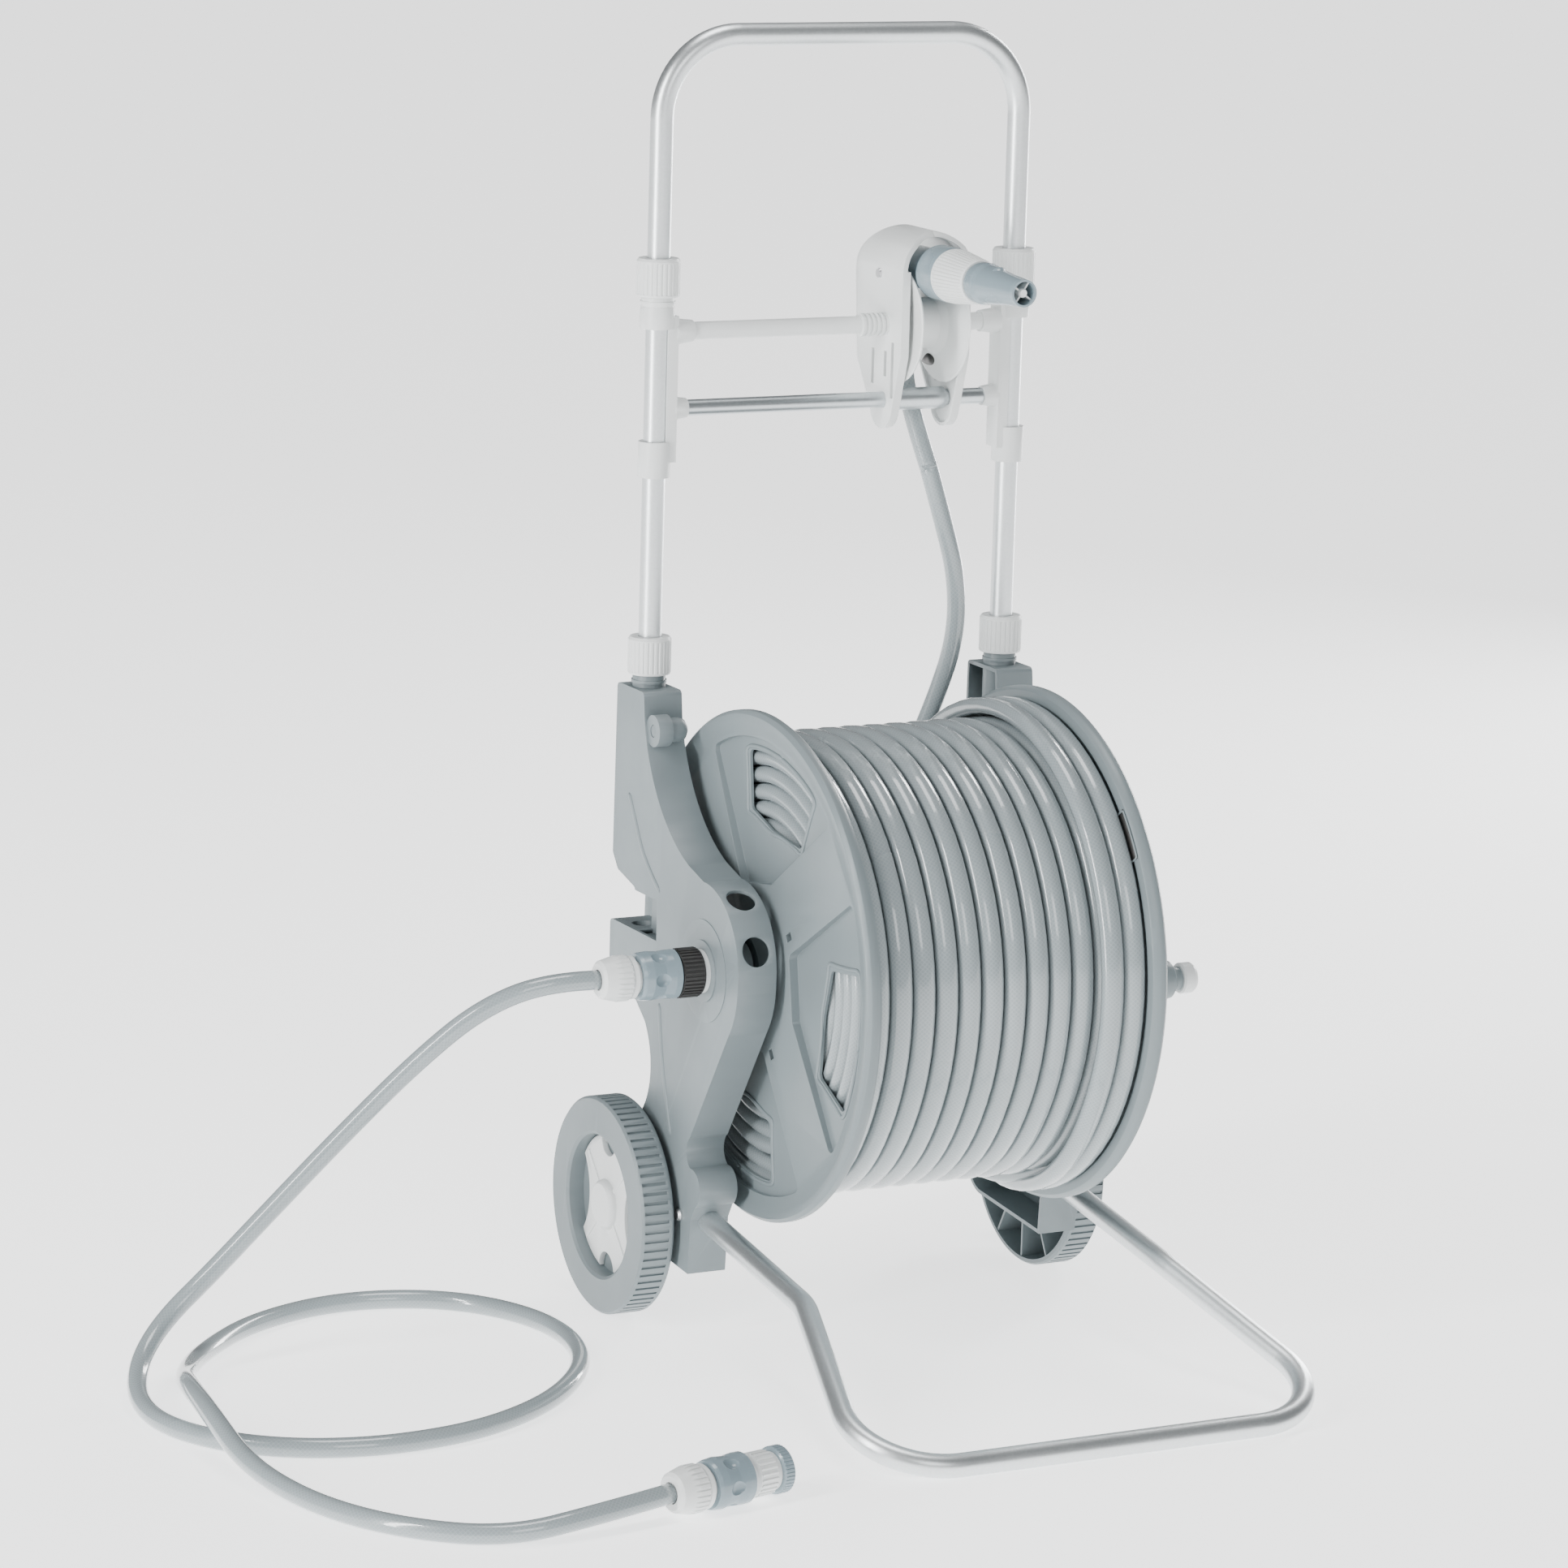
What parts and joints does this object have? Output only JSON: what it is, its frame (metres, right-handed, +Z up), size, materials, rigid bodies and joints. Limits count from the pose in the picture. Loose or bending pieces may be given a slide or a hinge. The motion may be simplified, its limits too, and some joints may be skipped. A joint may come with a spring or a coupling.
{
  "type": "garden hose reel cart",
  "caption": "Two-wheel garden hose cart: crank reel full of hose between moulded side frames, telescoping tube handle, sliding hose guide with nozzle, foot loop and a lead hose to the tap.",
  "frame": {"origin": "centre of the cart's footprint on the ground, measured without the lead hose", "axes": "+Z up, the cart's front (foot loop and nozzle) faces -Y, the water inlet is on the -X side and the crank on the +X side"},
  "size_m": [0.9522, 0.588, 1.01],
  "materials": {
    "frame_grey": "moulded, fine texture",
    "reel_grey": "moulded, satin",
    "wheel_grey": "moulded, satin",
    "white_plastic": "satin",
    "blue_grey_plastic": "gloss",
    "black_plastic": "satin",
    "hose_pvc": "glossy, braided under a clear skin",
    "aluminium": "satin anodised",
    "steel": "zinc plated",
    "brass": "turned",
    "seal_rubber": "matte"
  },
  "bodies": {
    "root": {"side_frame_left": "frame_grey", "side_frame_right": "frame_grey", "foot_tube": "aluminium", "foot_screws": "steel", "wheel_axles": "steel", "lower_collets": "white_plastic", "inlet_spindle": "brass", "inlet_collar": "black_plastic", "inlet_washer": "white_plastic", "inlet_seals": "seal_rubber", "inlet_connector_nut": "white_plastic", "inlet_connector_core": "white_plastic", "lead_hose": "hose_pvc", "tap_connector_nut": "white_plastic", "tap_connector_core": "white_plastic", "tap_adapter": "white_plastic", "tap_seal": "seal_rubber", "tap_rim": "blue_grey_plastic", "drop_hose_lower": "hose_pvc"},
    "reel_lock": {"reel_lock_knob": "frame_grey"},
    "wheel_left_body": {"wheel_left": "wheel_grey", "wheel_hub_left": "white_plastic"},
    "wheel_right_body": {"wheel_right": "wheel_grey", "wheel_hub_right": "white_plastic"},
    "lower_nut_left_body": {"lower_nut_left": "white_plastic"},
    "lower_nut_right_body": {"lower_nut_right": "white_plastic"},
    "upper_nut_left_body": {"upper_nut_left": "white_plastic"},
    "upper_nut_right_body": {"upper_nut_right": "white_plastic"},
    "bridge": {"bracket_left": "white_plastic", "bracket_right": "white_plastic", "guide_rod_upper": "white_plastic", "guide_rod_lower": "aluminium", "upper_collets": "white_plastic", "drop_hose_upper": "hose_pvc"},
    "handle": {"handle_tube": "aluminium", "handle_plugs": "white_plastic"},
    "guide": {"guide_side_left": "white_plastic", "guide_side_right": "white_plastic", "guide_bush": "white_plastic", "guide_screws": "steel", "nozzle_cup": "blue_grey_plastic", "nozzle_collar": "white_plastic", "nozzle_core": "blue_grey_plastic", "nozzle_elbow": "blue_grey_plastic"},
    "pulley": {"hose_pulley": "white_plastic"},
    "roller": {"guide_roller": "aluminium"},
    "nozzle_front": {"nozzle_barrel": "blue_grey_plastic", "nozzle_spray_insert": "white_plastic"},
    "reel": {"flange_left": "reel_grey", "flange_right": "reel_grey", "drum": "reel_grey", "hose_winding": "hose_pvc", "hub_shaft": "reel_grey", "crank_arm": "reel_grey", "crank_screw": "steel"},
    "grip": {"crank_grip": "reel_grey", "crank_grip_cap": "white_plastic"},
    "inlet_sleeve": {"inlet_connector_sleeve": "blue_grey_plastic"},
    "tap_sleeve": {"tap_connector_sleeve": "blue_grey_plastic"}
  },
  "joints": [
    {"name": "bridge_slide", "type": "slide", "parent": "root", "child": "bridge", "axis": [0, 0, 1], "range_m": [-0.12, 0], "deforming": ["drop_hose_lower"]},
    {"name": "handle_slide", "type": "slide", "parent": "bridge", "child": "handle", "axis": [0, 0, 1], "range_m": [-0.11, 0]},
    {"name": "guide_slide", "type": "slide", "parent": "bridge", "child": "guide", "axis": [1, 0, 0], "range_m": [-0.14, 0.02], "deforming": ["drop_hose_upper"]},
    {"name": "pulley_spin", "type": "hinge", "parent": "guide", "child": "pulley", "pos_m": [0.01765, 0.2275, 0.773], "axis": [1, 0, 0], "continuous": true},
    {"name": "roller_spin", "type": "hinge", "parent": "guide", "child": "roller", "pos_m": [0.01765, 0.2275, 0.713], "axis": [1, 0, 0], "continuous": true},
    {"name": "nozzle_twist", "type": "hinge", "parent": "guide", "child": "nozzle_front", "pos_m": [0.01765, 0.2345, 0.817], "axis": [0, -1, 0], "range_deg": [0, 180]},
    {"name": "reel_spin", "type": "hinge", "parent": "root", "child": "reel", "pos_m": [-0.05485, 0.0825, 0.3], "axis": [1, 0, 0], "continuous": true},
    {"name": "grip_spin", "type": "hinge", "parent": "reel", "child": "grip", "pos_m": [0.14815, 0.1715, 0.234], "axis": [1, 0, 0], "continuous": true},
    {"name": "wheel_left_spin", "type": "hinge", "parent": "root", "child": "wheel_left_body", "pos_m": [-0.24485, 0.196, 0.0865], "axis": [1, 0, 0], "continuous": true},
    {"name": "wheel_right_spin", "type": "hinge", "parent": "root", "child": "wheel_right_body", "pos_m": [0.13515, 0.196, 0.0865], "axis": [1, 0, 0], "continuous": true},
    {"name": "lower_nut_left_turn", "type": "hinge", "parent": "root", "child": "lower_nut_left_body", "pos_m": [-0.2106, 0.2275, 0.505], "axis": [0, 0, 1], "range_deg": [0, 180]},
    {"name": "lower_nut_right_turn", "type": "hinge", "parent": "root", "child": "lower_nut_right_body", "pos_m": [0.1009, 0.2275, 0.505], "axis": [0, 0, 1], "range_deg": [0, 180]},
    {"name": "upper_nut_left_turn", "type": "hinge", "parent": "bridge", "child": "upper_nut_left_body", "pos_m": [-0.2106, 0.2275, 0.801], "axis": [0, 0, 1], "range_deg": [0, 180]},
    {"name": "upper_nut_right_turn", "type": "hinge", "parent": "bridge", "child": "upper_nut_right_body", "pos_m": [0.1009, 0.2275, 0.801], "axis": [0, 0, 1], "range_deg": [0, 180]},
    {"name": "reel_lock_push", "type": "slide", "parent": "root", "child": "reel_lock", "axis": [1, 0, 0], "range_m": [0, 0.008]},
    {"name": "inlet_sleeve_pull", "type": "slide", "parent": "root", "child": "inlet_sleeve", "axis": [-1, 0, 0], "range_m": [0, 0.003], "stiffness_N_per_m": 300},
    {"name": "tap_sleeve_pull", "type": "slide", "parent": "root", "child": "tap_sleeve", "axis": [-0.977, -0.213, 0], "range_m": [0, 0.003], "stiffness_N_per_m": 300}
  ]
}
